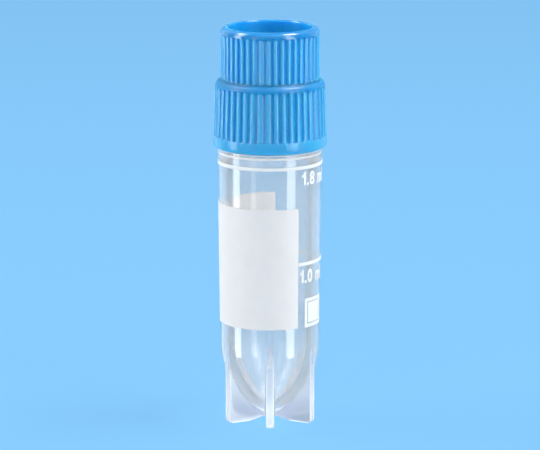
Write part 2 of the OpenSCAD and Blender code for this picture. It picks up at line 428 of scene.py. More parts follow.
def pullRings(r, z, rings):
    # pulls the selected edge of a turned shape, at radius r and height z, through each ring in turn
    for nextR, nextZ in rings:
        bpy.ops.mesh.extrude_region_move(TRANSFORM_OT_translate={"value": (0, 0, nextZ - z)})
        bpy.ops.transform.resize(value=(nextR / r, nextR / r, 1), center_override=(0, 0, 0))
        r, z = nextR, nextZ


def makeThread(rootR, crestR, startZ, turns, turnedBy, sizes):
    # one ridge that climbs round the axis, with both its ends running out into the wall
    half, crest = sizes["rootWidth"] / 2, sizes["crestWidth"] / 2
    foot, top = crest + sizes["flank"], crest - sizes["crestRound"]
    flankR = lerp(crestR, rootR, sizes["flankShare"])
    section = [(rootR, -half), (flankR, -foot), (crestR, -top), (crestR, top), (flankR, foot), (rootR, half)]
    ridge = drawProfile("threadRidge", [(r, startZ + z) for r, z in section])
    selectAll()
    bpy.ops.mesh.edge_face_add()
    endEdit()
    steps = round(turns * sizes["stepsPerTurn"])
    applyModifier(ridge, "SCREW", angle=math.radians(360 * turns), screw_offset=turns * sizes["lead"],
                  steps=steps, render_steps=steps, axis="Z", use_merge_vertices=False)
    for i, point in enumerate(ridge.data.vertices):
        step = i // len(section)
        share = max(sizes["endShare"], min(1, step / sizes["fadeSteps"], (steps - step) / sizes["fadeSteps"]))
        reach = point.co.xy.length
        point.co.xy *= (rootR + (reach - rootR) * share) / reach
    startEdit(ridge)
    selectAll()
    bpy.ops.mesh.fill_holes(sides=0)
    faceOutwards()
    turnSelected(-turnedBy)
    endEdit()
    return ridge


def addThreads(piece, wallR, outwards, sizes):
    # outwards is 1 for a thread on the outside of a wall, and -1 for one on its inside
    rootR, crestR = wallR - outwards * threadSizes["sink"], wallR + outwards * threadSizes["depth"]
    for k in range(threadSizes["starts"]):
        ridge = makeThread(rootR, crestR, capLow.z + sizes["threadStart"], sizes["threadTurns"],
                           fullTurn * k / threadSizes["starts"], threadSizes)
        applyModifier(piece, "BOOLEAN", operation="UNION", object=ridge, solver="EXACT")
        bpy.data.objects.remove(ridge)


def makeTube(sizes):
    tube = makeFootBay(sizes)
    startEdit(tube)
    topZ = sizes["topOfFoot"]
    selectWhere(tube, lambda place: place.z > topZ - near)
    pullRings(sideR(topZ), topZ, tubeProfile(sizes))
    mergeDoubles(near / 10)
    endEdit()
    applyModifier(tube, "MIRROR", use_axis=(False, True, False), use_mirror_merge=True, merge_threshold=near)
    startEdit(tube)
    selectAll()
    turnSelected(-front)
    copyRound(sizes["finCount"])
    endEdit()
    addThreads(tube, sizes["neckR"], 1, sizes)
    tidyMesh(tube)
    return tube


print("tube: star foot, round bottom, side, neck and thread")
tube = makeTube(tubeSizes)


capSizes = {
    "ribs": 44,
    "ribColumns": 12,
    "ribTurn": -1.8,         # degrees that the rib nearest the front is turned by
    "valley": 0.23,          # depth between two ribs
    "valleyPower": 1.9,      # higher makes flatter ribs and narrower valleys
    "valleyFade": 0.34,      # height over which a valley runs out
    "valleyEase": 1.2,
    "upperValleys": (41.72, 47.26),
    "lowerValleys": (34.86, 41.0),
    "tierR": 6.6,
    "tierStep": 0.65,
    "stepRound": 0.9,
    "stepTop": 41.7,
    "stepDip": 4,            # degrees that the step's rounding starts early
    "collarWall": 0.95,
    "rimInside": 0.18,       # rounding on the rim's inner edge
    "rimFlat": 0.06,
    "rimDrop": 0.74,         # height of the broad outer rounding
    "recessDepth": 6.0,
    "recessFillet": 0.4,
    "skirtRound": 0.5,
    "skirtR": 5.88,
    "ceilingOverSeal": 0.02,
    "plugR": 4.713,
    "plugWall": 0.6,
    "plugDepth": 1.6,
    "threadStart": 1.15,     # above the foot of the cap
    "threadTurns": 1.0,
    "shineTop": (0.2, 1.0),  # how far each smooth band reaches past the ribs beside it, and how glossy it is
    "shineStep": (0.3, 0.3),
    "shineFoot": (0.1, 0.5),
    "plainRise": (0.5, 1.0),  # what the plain parts count as on a rib, and what the foot counts as: a crest, so the foot band is painted lighter with the crest's painted highlight tone
    "outsideFrom": 5.6,      # in the upper tier the outside is further out than this
    "skirtMargin": 0.05,     # and in the lower one, this much further out than the skirt's inside
    "tierSplit": 0.5,        # the two tiers part this far above the seal
    "recessMargins": (0.02, 0.1),  # how far the recess's painted glow goes outwards and down
    "belowStep": 0.05,
}
capCorners = {  # points (radius, height) that round a corner off, from where its two sides meet
    "gateMark": ((0, -0.06), (0.35, -0.06), (0.5, -0.02), (0.6, 0), (2.2, 0)),
    "recessWall": ((0, 2), (0, 4)),
    "stepTop": ((0, 0.06), (0.02, 0.015)),
    "skirtMouth": ((0.12, 0), (0.03, 0.03), (0, 0.12), (0, 3.5)),
    "ceiling": ((0, -0.15), (-0.05, -0.04), (-0.15, 0)),
    "plugRoot": ((0.12, 0), (0, -0.12)),
    "plugTip": ((0, 0.35), (-0.12, 0.1), (-0.22, 0)),
    "plugInnerTip": ((0.1, 0), (0, 0.1)),
    "plugInnerRoot": ((0, -0.2), (-0.2, 0)),
}


def cornerPoints(name, r, z):
    return [(r + outwards, z + upwards) for outwards, upwards in capCorners[name]]


def fadedHeights(low, high, fade):
    # heights down a ribbed side, close together where the valleys run out
    fadeSteps, middleSteps = 7, 5
    heights = [high - fade * i / fadeSteps for i in range(fadeSteps + 1)]
    heights += [lerp(high - fade, low + fade, i / middleSteps) for i in range(1, middleSteps)]
    heights += [low + fade * (1 - i / fadeSteps) for i in range(fadeSteps + 1)]
    return heights


def capProfile(sizes):
    # half of the cap's section, from the axis on the recess's floor, over the rim and back to the axis inside
    topZ, footZ, footR, tierR = capHigh.z, capLow.z, capHigh.x, sizes["tierR"]
    collarR = tierR - sizes["tierStep"]
    recessR, recessZ = collarR - sizes["collarWall"], topZ - sizes["recessDepth"]
    fillet, rimIn, fade = sizes["recessFillet"], sizes["rimInside"], sizes["valleyFade"]
    rimOut = sizes["collarWall"] - rimIn - sizes["rimFlat"]
    points = cornerPoints("gateMark", 0, recessZ)
    points += arcPoints((recessR - fillet, recessZ + fillet), fillet, 270, 360, steps=5)
    points += cornerPoints("recessWall", recessR, recessZ)
    points += arcPoints((recessR + rimIn, topZ - rimIn), rimIn, 180, 90, steps=6)
    for r, z in arcPoints((0, 0), 1, 90, 0, steps=12):
        points.append((collarR - rimOut * (1 - r), topZ - sizes["rimDrop"] * (1 - z)))
    points += [(collarR, z) for z in fadedHeights(*sizes["upperValleys"], fade)]
    points += cornerPoints("stepTop", collarR, sizes["stepTop"])
    stepR, skirtRound = sizes["stepRound"], sizes["skirtRound"]
    sideTop = sizes["stepTop"] - math.sqrt(stepR ** 2 - (stepR - sizes["tierStep"]) ** 2)
    stepAngle = math.degrees(math.acos(1 - sizes["tierStep"] / stepR)) - sizes["stepDip"]
    points += arcPoints((tierR - stepR, sideTop), stepR, stepAngle, 0, steps=12)
    sideFoot = footZ + skirtRound
    for z in fadedHeights(sizes["lowerValleys"][0], sideTop - sizes["belowStep"], fade):
        points.append((lerp(tierR, footR, (sideTop - z) / (sideTop - sideFoot)), z))
    points += arcPoints((footR - skirtRound, sideFoot), skirtRound, 0, -90, steps=8)
    skirtR, plugR, ceilingZ = sizes["skirtR"], sizes["plugR"], sealHigh.z + sizes["ceilingOverSeal"]
    plugIn, plugFoot = plugR - sizes["plugWall"], ceilingZ - sizes["plugDepth"]
    for name, r, z in (("skirtMouth", skirtR, footZ), ("ceiling", skirtR, ceilingZ),
                       ("plugRoot", plugR, ceilingZ), ("plugTip", plugR, plugFoot),
                       ("plugInnerTip", plugIn, plugFoot), ("plugInnerRoot", plugIn, ceilingZ)):
        points += cornerPoints(name, r, z)
    return points + [(0, ceilingZ)]


def valleyAt(place, sizes):
    # how far a point of the cap's side sinks between the ribs, and how high it stands on a rib from 0 to 1
    fade = 0.0
    for low, high in (sizes["upperValleys"], sizes["lowerValleys"]):
        run = min(place.z - low, high - place.z) / sizes["valleyFade"]
        fade = max(fade, min(max(run, 0), 1))
    fade = math.sin(fade * quarterTurn) ** sizes["valleyEase"]
    turn = math.atan2(place.y, place.x) * sizes["ribs"] / fullTurn
    share = 2 * abs(turn - round(turn))  # 0 along the crest of a rib, 1 in the valley
    rise = 1 - share ** sizes["valleyPower"]
    # the foot band counts as a rib's crest, so it takes the painted highlight tone
    onFoot = place.z < sizes["lowerValleys"][0] + sizes["shineFoot"][0]
    return sizes["valley"] * fade * (1 - rise), lerp(sizes["plainRise"][onFoot], rise, fade)


def shineAt(z, rise, sizes):
    # how glossy the cap is, from 0 to 1: by height in three bands, and by the rise of the ribs elsewhere
    (ribsFoot, ribsTop), (stepTop, rimFoot) = sizes["lowerValleys"], sizes["upperValleys"]
    (topBy, topShine), (stepBy, stepShine), (footBy, footShine) = (
        sizes["shineTop"], sizes["shineStep"], sizes["shineFoot"])
    if z > rimFoot - topBy:
        return topShine
    if ribsTop - stepBy < z < stepTop + stepBy:
        return stepShine
    return footShine if z < ribsFoot + footBy else rise


def makeCap(sizes):
    cap = drawProfile("screwCap", capProfile(sizes))
    ribAngle = fullTurn / sizes["ribs"]
    selectAll()
    turnSelected(ribAngle / 2)
    spinSelected(ribAngle, sizes["ribColumns"])
    mergeDoubles()
    endEdit()
    recessR = sizes["tierR"] - sizes["tierStep"] - sizes["collarWall"]
    recessZ = capHigh.z - sizes["recessDepth"]
    recessOut, recessDown = sizes["recessMargins"]
    upperR, lowerR = sizes["outsideFrom"], sizes["skirtR"] + sizes["skirtMargin"]
    found = {"ribHeight": [], "insideRecess": [], "shine": []}
    for point in cap.data.vertices:
        reach, z, rise = point.co.xy.length, point.co.z, sizes["plainRise"][0]
        if reach > (upperR if z > sealHigh.z + sizes["tierSplit"] else lowerR):
            depth, rise = valleyAt(point.co, sizes)
            point.co.xy *= 1 - depth / reach
        found["ribHeight"].append(rise)
        # marks where the recess's painted glow goes
        found["insideRecess"].append(float(reach < recessR + recessOut and z > recessZ - recessDown))
        found["shine"].append(shineAt(z, rise, sizes))
    for name, values in found.items():
        cap.data.attributes.new(name, "FLOAT", "POINT").data.foreach_set("value", values)
    startEdit(cap)
    copyRound(sizes["ribs"])
    turnSelected(-front - math.radians(sizes["ribTurn"]))
    endEdit()
    addThreads(cap, sizes["skirtR"], -1, sizes)
    tidyMesh(cap)
    return cap


print("cap: ribbed tiers, recess, plug and thread")
cap = makeCap(capSizes)


sealSizes = {"edge": 0.12, "innerR": 4.793, "columns": 120}


def makeSeal(sizes):
    edge = sizes["edge"]
    innerR, outerR = sizes["innerR"] + edge, sealHigh.x - edge
    lowZ, highZ = sealLow.z + edge, sealHigh.z - edge
    points = []
    for i, centre in enumerate(((outerR, lowZ), (outerR, highZ), (innerR, highZ), (innerR, lowZ))):
        points += arcPoints(centre, edge, 90 * i - 90, 90 * i, steps=3)
    seal = drawProfile("sealRing", points + points[:1])
    selectAll()
    spinSelected(fullTurn, sizes["columns"])
    closeSeams()
    endEdit()
    return seal


print("sealing ring")
seal = makeSeal(sealSizes)


printSizes = {
    "thickness": 0.05,
    "sink": 0.01,            # the ink's inner face lies this far in the wall, so no air shows behind it
    "slack": 0.002,          # how far the ink stays under its full thickness
    "flatR": 6.1,            # flat print is drawn at this radius before it is laid round the side
    "slice": 0.22,           # width of the upright slices that let figures bend
    "panelEdge": 33.5,       # degrees right of the front
    "panelSpan": 221.0,
    "panelCorner": 0.035,
    "panelGrid": (150, 24),  # columns and rows of faces
    "innerTilt": 0.5,        # a face that tilts more than this is an edge, not the ink's inner side
    "lineWidth": 0.4,
    "upperLineGrid": (240, 2),
    "lowerLineGrid": (96, 2),
    "lowerLineSpan": 138.0,
    "lowerLineGap": 0.5,
    "figureHeight": 1.6,
    "figureShare": 0.729,    # height of a plain figure in type of size 1
    "figureWidth": 0.82,     # narrower than the plain letters
    "figureBold": 0.07,
    "figureSpacing": 1.1,
    "figureCurves": 5,
    "oneBar": 0.32,
    "oneFlag": 0.3,
    "oneFlagTop": 0.86,      # shares of the figure's height
    "oneFlagFoot": 0.64,
    "oneFlagDrop": 0.1,
    "oneGap": 0.17,
    "figures": [(".8 ml", 37.6, 29.62), (".0 ml", 35.6, 17.7)],  # words, degrees right of the front, foot
    "box": (43.5, 77.0, 12.15, 15.7),  # blank tick box: left and right in degrees, low and high
    "boxFrame": 0.4,
    "boxGap": 0.14,
    "boxSlice": 0.2,
    "boxRows": 4,
}


def girth(degrees):
    return math.radians(degrees) * printSizes["flatR"]


def flatStrip(name, left, right, low, high, columns, rows):
    # a flat grid that faces the front, x along the girth and z up
    deselectAll()
    bpy.ops.mesh.primitive_grid_add(x_subdivisions=columns, y_subdivisions=rows, size=1,
                                    rotation=(quarterTurn, 0, 0),
                                    location=((left + right) / 2, 0, (low + high) / 2))
    strip = nameNew(name)
    strip.scale = (right - left, high - low, 1)
    applyPlace()
    return strip


def cutUpright(piece, spacing):
    # cuts flat print into narrow upright slices, so that it can bend round the side
    startEdit(piece)
    xs = [point.co.x for point in piece.data.vertices]
    x = math.ceil(min(xs) / spacing) * spacing
    while x < max(xs):
        selectAll()
        bpy.ops.mesh.bisect(plane_co=(x, 0, 0), plane_no=(1, 0, 0))
        x += spacing
    endEdit()


def layRound(piece, sizes):
    # bends flat print round the tapered side and gives it its thickness
    for point in piece.data.vertices:
        angle = front + point.co.x / sizes["flatR"]
        reach = sideR(point.co.z) - sizes["sink"]
        point.co = (reach * math.cos(angle), reach * math.sin(angle), point.co.z)
    startEdit(piece)
    mergeDoubles()
    endEdit()
    applyModifier(piece, "SOLIDIFY", thickness=sizes["thickness"] + sizes["sink"] - sizes["slack"], offset=1)


def makePanel(sizes):
    right = girth(sizes["panelEdge"])
    left = right - girth(sizes["panelSpan"])
    low, high, corner = panelLow.z, panelHigh.z, sizes["panelCorner"]
    panel = flatStrip("writingPanel", left, right, low, high, *sizes["panelGrid"])
    for point in panel.data.vertices:  # slides the four corner points in, so that each is a little round
        x, z = point.co.x, point.co.z
        if min(x - left, right - x) < near and min(z - low, high - z) < near:
            point.co.x += corner if x < (left + right) / 2 else -corner
            point.co.z += corner if z < (low + high) / 2 else -corner
    layRound(panel, sizes)
    return panel


def makeOne(x, foot, sizes):
    # a bold 1: an upright bar with a slanted flag
    height, bar, left = sizes["figureHeight"], sizes["oneBar"], x + sizes["oneFlag"]
    flagFoot, flagTop = foot + height * sizes["oneFlagFoot"], foot + height * sizes["oneFlagTop"]
    deselectAll()
    bpy.ops.mesh.primitive_plane_add(size=1, rotation=(quarterTurn, 0, 0),
                                     location=(left + bar / 2, 0, foot + height / 2))
    one = nameNew("figureOne")
    one.scale = (bar, height, 1)
    applyPlace()
    startEdit(one)
    for z in (flagTop, flagFoot):
        selectAll()
        bpy.ops.mesh.bisect(plane_co=(0, 0, z), plane_no=(0, 0, 1))
    selectWhere(one, lambda place: abs(place.x - left) < near and flagFoot - near < place.z < flagTop + near)
    bpy.ops.mesh.extrude_region_move(
        TRANSFORM_OT_translate={"value": (-sizes["oneFlag"], 0, -sizes["oneFlagDrop"] * height)})
    endEdit()
    return one


def makeFigures(words, degrees, foot, sizes):
    deselectAll()
    bpy.ops.object.text_add(rotation=(quarterTurn, 0, 0))
    figures = bpy.context.object
    figures.data.body = words
    figures.data.size = sizes["figureHeight"] / sizes["figureShare"]
    figures.data.offset = sizes["figureBold"]
    figures.data.space_character = sizes["figureSpacing"]
    figures.data.resolution_u = sizes["figureCurves"]
    bpy.ops.object.convert(target="MESH")
    applyPlace()
    one = makeOne(girth(degrees), foot, sizes)
    start = girth(degrees) + sizes["oneFlag"] + sizes["oneBar"] + sizes["oneGap"]
    shift = start - min(point.co.x for point in figures.data.vertices) * sizes["figureWidth"]
    for point in figures.data.vertices:
        point.co.x = point.co.x * sizes["figureWidth"] + shift
        point.co.z += foot
    joinPieces([figures, one])
    cutUpright(figures, sizes["slice"])
    layRound(figures, sizes)
    tidyMesh(figures, near / 10)
    return figures


def laidStrip(strip, sizes):
    part = flatStrip(*strip)
    layRound(part, sizes)
    return part


def makeMarks(sizes):
    width, start = sizes["lineWidth"], sizes["panelEdge"] + sizes["lowerLineGap"]
    end = start + sizes["lowerLineSpan"]
    upperGrid, lowerGrid = sizes["upperLineGrid"], sizes["lowerLineGrid"]
    lines = [("graduationPrint", girth(-180), girth(180), marksHigh.z - width, marksHigh.z, *upperGrid),
             ("lowerLine", girth(start), girth(end), marksLow.z, marksLow.z + width, *lowerGrid)]
    left, right, low, high = sizes["box"]
    left, right, edge = girth(left), girth(right), sizes["boxFrame"]
    inside = edge + sizes["boxGap"]
    bars = [(left, right, low, low + edge), (left, right, high - edge, high),
            (left, left + edge, low + edge, high - edge), (right - edge, right, low + edge, high - edge),
            (left + inside, right - inside, low + inside, high - inside)]
    boxes = [("boxBar", *bar, max(2, round((bar[1] - bar[0]) / sizes["boxSlice"])), sizes["boxRows"])
             for bar in bars]
    parts = [laidStrip(strip, sizes) for strip in lines]
    parts += [makeFigures(*figures, sizes) for figures in sizes["figures"]]
    parts += [laidStrip(strip, sizes) for strip in boxes]
    return joinPieces(parts)


print("print: writing panel, graduation lines and figures")
panel = makePanel(printSizes)
marks = makeMarks(printSizes)


def addNode(tree, kind, **values):
    node = tree.nodes.new(kind)
    for name, value in values.items():
        setattr(node, name, value)
    return node


def setInputs(node, values):
    for label, value in values.items():
        node.inputs[label].default_value = value


def feed(tree, value, socket):
    # an output is linked to the socket, and a number or a colour is set on it
    if isinstance(value, bpy.types.NodeSocket):
        tree.links.new(value, socket)
    else:
        socket.default_value = (*value, 1) if isinstance(value, tuple) else value


def addMath(tree, operation, first, second=0):
    node = addNode(tree, "ShaderNodeMath", operation=operation)
    feed(tree, first, node.inputs[0])
    feed(tree, second, node.inputs[1])
    return node.outputs[0]


def rangeOf(tree, value, low, high, toLow=0, toHigh=1, kind="LINEAR"):
    # takes a value from the range low to high into the range toLow to toHigh
    spread = addNode(tree, "ShaderNodeMapRange", interpolation_type=kind)
    setInputs(spread, {"From Min": low, "From Max": high, "To Min": toLow, "To Max": toHigh})
    tree.links.new(value, spread.inputs["Value"])
    return spread.outputs["Result"]


def mixColours(tree, factor, first, second):
    mix = addNode(tree, "ShaderNodeMix", data_type="RGBA")
    feed(tree, factor, mix.inputs["Factor"])
    feed(tree, first, mix.inputs[6])
    feed(tree, second, mix.inputs[7])
    return mix.outputs[2]


def mixShaders(tree, factor, first, second, output):
    mix = addNode(tree, "ShaderNodeMixShader")
    for i, value in enumerate((factor, first, second)):
        tree.links.new(value, mix.inputs[i])
    tree.links.new(mix.outputs[0], tree.nodes[output].inputs["Surface"])


def placeParts(tree, coordinates):
    parts = addNode(tree, "ShaderNodeSeparateXYZ")
    tree.links.new(addNode(tree, "ShaderNodeTexCoord").outputs[coordinates], parts.inputs[0])
    return parts.outputs


mouldLook = {"cloudDetail": 3, "grainDetail": 2, "flowDetail": 2,
             "flowScale": 900, "flowStretch": (1, 1, 0.06)}
noiseRange = (0.3, 0.7)  # nearly all of a noise pattern's values lie between these


def makeMouldGroup(look):
    # moulded plastic: cloudy tone, a fine polished grain, and faint upright flow lines
    group = bpy.data.node_groups.new("mouldedPlastic", "ShaderNodeTree")
    for label, kind in (("Vector", "NodeSocketVector"), ("Cloud Scale", "NodeSocketFloat"),
                        ("Grain Scale", "NodeSocketFloat")):
        group.interface.new_socket(label, in_out="INPUT", socket_type=kind)
    for label in ("Cloud", "Grain", "Flow"):
        group.interface.new_socket(label, in_out="OUTPUT", socket_type="NodeSocketFloat")
    given, made = group.nodes.new("NodeGroupInput"), group.nodes.new("NodeGroupOutput")
    place = given.outputs["Vector"]
    stretch = addNode(group, "ShaderNodeMapping")
    stretch.inputs["Scale"].default_value = look["flowStretch"]
    group.links.new(place, stretch.inputs["Vector"])
    for label, detail, where, scale in (
            ("Cloud", look["cloudDetail"], place, given.outputs["Cloud Scale"]),
            ("Grain", look["grainDetail"], place, given.outputs["Grain Scale"]),
            ("Flow", look["flowDetail"], stretch.outputs["Vector"], look["flowScale"])):
        noise = addNode(group, "ShaderNodeTexNoise", noise_dimensions="3D")
        noise.inputs["Detail"].default_value = detail
        feed(group, where, noise.inputs["Vector"])
        feed(group, scale, noise.inputs["Scale"])
        group.links.new(noise.outputs[0], made.inputs[label])
    return group


mouldGroup = makeMouldGroup(mouldLook)


def startMaterial(name, look):
    material = bpy.data.materials.new(name)
    material.use_nodes = True
    tree = material.node_tree
    mould = addNode(tree, "ShaderNodeGroup", node_tree=mouldGroup)
    setInputs(mould, {"Cloud Scale": look["cloudScale"], "Grain Scale": look["grainScale"]})
    tree.links.new(addNode(tree, "ShaderNodeTexCoord").outputs["Object"], mould.inputs["Vector"])
    return material, tree, tree.nodes["Principled BSDF"], mould.outputs


def addBump(tree, shader, height, look):
    bump = addNode(tree, "ShaderNodeBump")
    setInputs(bump, {"Distance": look["bumpDepth"], "Strength": look["bumpStrength"]})
    tree.links.new(height, bump.inputs["Height"])
    tree.links.new(bump.outputs["Normal"], shader.inputs["Normal"])


clearLook = {"cloudScale": 260, "grainScale": 5200, "ior": 1.49, "gloss": 0, "glossRoughness": 0.2,
             "bumpDepth": 0.00002, "bumpStrength": 0.25}
tubeLooks = {  # the wall, the fins' ends and feet, the fins' sides, the band over the upper line, the shoulder
    "clear": {"deep": (0.88, 0.865, 0.86), "light": (0.91, 0.895, 0.885), "transmission": 0.915,
              "roughness": (0.045, 0.075), "scatterReach": 0.0015, "gloss": 0.5},
    "milky": {"deep": (0.70, 0.76, 0.82), "light": (0.74, 0.79, 0.84), "transmission": 0.35,
              "roughness": (0.14, 0.22), "scatterReach": 0.0005, "upperTone": (0.5, 0.6, 0.72),
              "fade": (0.003, 0.0078)},  # heights in metres over which it turns to the upper tone
    "fin": {"deep": (0.54, 0.58, 0.65), "light": (0.58, 0.62, 0.69), "transmission": 0.75,
            "roughness": (0.05, 0.1), "scatterReach": 0.0015, "upperTone": (0.73, 0.765, 0.80),
            "fade": (0.0005, 0.0035)},
    "neckline": {"deep": (0.90, 0.88, 0.88), "light": (0.93, 0.91, 0.91), "transmission": 0.82,
                 "roughness": (0.04, 0.08), "scatterReach": 0.0003},
    "collar": {"deep": (0.69, 0.70, 0.70), "light": (0.72, 0.73, 0.73), "transmission": 0.05,
               "roughness": (0.16, 0.24), "scatterReach": 0.0002},
}
capLook = {
    "groove": (0.016, 0.41, 0.80), "side": (0.007, 0.195, 0.435), "crest": (0.04, 0.325, 0.595),
    "places": (0.08, 0.58, 1.0),  # where these tones lie, from the bottom of a groove to a rib's crest; the groove tone is painted light that lifts the shade in the valleys, and the crest tone is a painted highlight
    # the recess tone is a brighter blue: painted glow for light shining through the thin wall and bouncing
    # inside the recess
    "recess": (0.013, 0.33, 0.62), "cloudShare": 0.16,
    "roughness": 0.1, "dullRoughness": 0.3, "grainRoughness": 0.16,  # added up: plain, dull parts, grain
    "scatter": 1.0, "scatterTint": (0.1, 0.6, 1.0), "scatterReach": 0.0015,
    "gloss": (0.025, 0.5), "glossFrom": (0.3, 0.8), "glossRoughness": 0.13, "sheenLevel": 0.38,
    "cloudScale": 420, "grainScale": 7000, "bumpDepth": 0.00001, "bumpStrength": 0.3,
}
sealLook = {"deep": (0.72, 0.72, 0.68), "light": (0.82, 0.82, 0.78), "roughness": (0.5, 0.62),
            "cloudScale": 700, "grainScale": 9000, "bumpDepth": 0.00002, "bumpStrength": 0.4}
inkLook = {"roughness": (0.45, 0.6), "cloudScale": 500, "grainScale": 12000,
           "bumpDepth": 0.00001, "bumpStrength": 0.4}
panelLook = {**inkLook, "deep": (0.58, 0.60, 0.62), "light": (0.60, 0.62, 0.64)}
# the ink's inner side is painted far whiter than its outer side: painted light for the lamp light coming
# through the ink
panelBackPaintedLightLook = {**inkLook, "deep": (0.93, 0.97, 0.98), "light": (0.96, 0.99, 1.0)}
markLook = {**inkLook, "deep": (0.62, 0.665, 0.69), "light": (0.65, 0.695, 0.72)}


def makeMatte(name, look, pattern="Grain"):
    # a cloudy tone from deep to light, with a fine pattern in its roughness and its surface
    material, tree, shader, mould = startMaterial(name, look)
    tone = mixColours(tree, rangeOf(tree, mould["Cloud"], *noiseRange), look["deep"], look["light"])
    if "upperTone" in look:  # less milky further up, where the fins run out
        upwards = rangeOf(tree, placeParts(tree, "Object")["Z"], *look["fade"])
        tone = mixColours(tree, upwards, tone, look["upperTone"])
    tree.links.new(tone, shader.inputs["Base Color"])
    tree.links.new(rangeOf(tree, mould[pattern], *noiseRange, *look["roughness"]), shader.inputs["Roughness"])
    addBump(tree, shader, mould[pattern], look)
    return material


def makeClear(name, look):
    material = makeMatte(name, look, "Flow")
    tree = material.node_tree
    shader = tree.nodes["Principled BSDF"]
    setInputs(shader, {"Transmission Weight": look["transmission"], "IOR": look["ior"],
                       "Coat Weight": look["gloss"], "Coat Roughness": look["glossRoughness"],
                       "Subsurface Weight": 1, "Subsurface Radius": (1, 1, 1),
                       "Subsurface Scale": look["scatterReach"]})
    paths = addNode(tree, "ShaderNodeLightPath")  # lets the lamps shine into the vial
    pane = addNode(tree, "ShaderNodeBsdfTransparent")
    mixShaders(tree, paths.outputs["Is Shadow Ray"], shader.outputs[0], pane.outputs[0], "Material Output")
    return material


def makeBlue(name, look):
    material, tree, shader, mould = startMaterial(name, look)
    height, inside, shine = (addNode(tree, "ShaderNodeAttribute", attribute_name=wanted).outputs["Fac"]
                             for wanted in ("ribHeight", "insideRecess", "shine"))
    # the rib's height picks the tone: painted light in the grooves, the plain side tone between, and a painted
    # highlight on the crests
    ramp = addNode(tree, "ShaderNodeValToRGB")
    stops = ramp.color_ramp.elements
    stops[0].position, middle, stops[1].position = look["places"]
    stops.new(middle)
    for stop, tone in zip(stops, ("groove", "side", "crest")):
        stop.color = (*look[tone], 1)
    cloud = addMath(tree, "MULTIPLY", mould["Cloud"], look["cloudShare"])
    tree.links.new(addMath(tree, "ADD", height, cloud), ramp.inputs["Fac"])
    # inside the recess the tone is mixed to its painted glow
    tone = mixColours(tree, inside, ramp.outputs["Color"], look["recess"])
    tree.links.new(tone, shader.inputs["Base Color"])
    dull = addMath(tree, "MULTIPLY", addMath(tree, "SUBTRACT", 1, shine), look["dullRoughness"])
    grain = addMath(tree, "MULTIPLY", mould["Grain"], look["grainRoughness"])
    rough = addMath(tree, "ADD", addMath(tree, "ADD", dull, grain), look["roughness"])
    tree.links.new(rough, shader.inputs["Roughness"])
    tree.links.new(rangeOf(tree, shine, *look["glossFrom"], *look["gloss"]), shader.inputs["Coat Weight"])
    setInputs(shader, {"Coat Roughness": look["glossRoughness"], "Specular IOR Level": look["sheenLevel"],
                       "Subsurface Weight": look["scatter"], "Subsurface Radius": look["scatterTint"],
                       "Subsurface Scale": look["scatterReach"]})
    addBump(tree, shader, mould["Grain"], look)
    return material


def giveFinishes(piece, materials):
    piece.data.materials.clear()
    for material in materials:
        piece.data.materials.append(material)


def tubePart(place, sizes):
    # which of the tube's looks a face has: the thick plastic at the fins and the shoulder is milky, and milky
    # lines up the edges of a fin's end are painted highlights
    reach, sixth = place.xy.length, fullTurn / sizes["finCount"]
    turn = math.atan2(place.y, place.x) - front
    turn -= round(turn / sixth) * sixth
    out, aside = reach * math.cos(turn), reach * abs(math.sin(turn))
    tipFrom, margin = sizes["finReach"] - sizes["tipDepth"], sizes["tipMargin"]
    # the two edges of a fin's end stay milky higher up, as painted highlight lines
    milkyTop = sizes["milkyTop"] if aside < sizes["milkyMiddle"] else sizes["finAndEdgeHighlightTop"]
    if out > tipFrom and aside < sizes["finTipHalf"] + margin and place.z < milkyTop:
        return "milky"
    if place.z < sizes["milkySole"] and reach > sizes["archReach"]:
        return "milky"
    if place.z < sizes["finAndEdgeHighlightTop"] and bowlR(place.z) + sizes["finFrom"] < reach and out < tipFrom:
        return "fin"
    inGroove = abs(shoulderZ - sizes["necklineDrop"] - place.z) < sizes["necklineHalf"]
    onNeckline = marksHigh.z < place.z < shoulderZ + sizes["collarFrom"] and reach > sizes["neckR"]
    if onNeckline and not inGroove:
        return "collar" if place.z > shoulderZ - sizes["milkyCollar"] else "neckline"
    return "clear"


print("finishes")
giveFinishes(tube, [makeClear(name + "Polypropylene", {**clearLook, **look})
                    for name, look in tubeLooks.items()])
for face in tube.data.polygons:
    face.material_index = list(tubeLooks).index(tubePart(face.center, tubeSizes))
giveFinishes(cap, [makeBlue("bluePolypropylene", capLook)])
giveFinishes(seal, [makeMatte("silicone", sealLook)])
giveFinishes(panel, [makeMatte("panelInk", panelLook), makeMatte("panelBackInkPaintedLight", panelBackPaintedLightLook)])
for face in panel.data.polygons:  # the ink's inner side, seen through the tube, is painted whiter: painted light standing in for lamp light that comes through the ink from outside
    inner = face.normal.xy.dot(face.center.xy) < 0 and abs(face.normal.z) < printSizes["innerTilt"]
    face.material_index = int(inner)
giveFinishes(marks, [makeMatte("markInk", markLook)])

finishPiece(tube, "tube", "tube")
finishPiece(cap, "cap", "cap")
finishPiece(seal, "seal", "sealing_ring")
finishPiece(panel, "tube", "writing_panel")
finishPiece(marks, "tube", "graduation_marks")


stageLook = {
    "backdrop": (0.25, 0.604, 0.991),
    "sideTone": (0.22, 0.41, 0.59),  # the backdrop's painted shade at its sides, seen in gloss and through clear plastic
    # the same painted shade at the floor's sides
    "floorSideTone": (0.29, 0.46, 0.61),
    "sides": (0.4, 0.7),     # where it starts and is full: 0 is front or back, 1 is straight left or right
    "floorColour": (0.72, 0.74, 0.78),
    "floorReach": 3.0,
    "floorFaces": 8,
    "glow": 0.88,            # how much of the floor's look is plain backdrop
    "glowStrength": 0.92,
    "ambient": (1.0, 1.0, 1.0),
    "ambientStrength": 0.1,
}


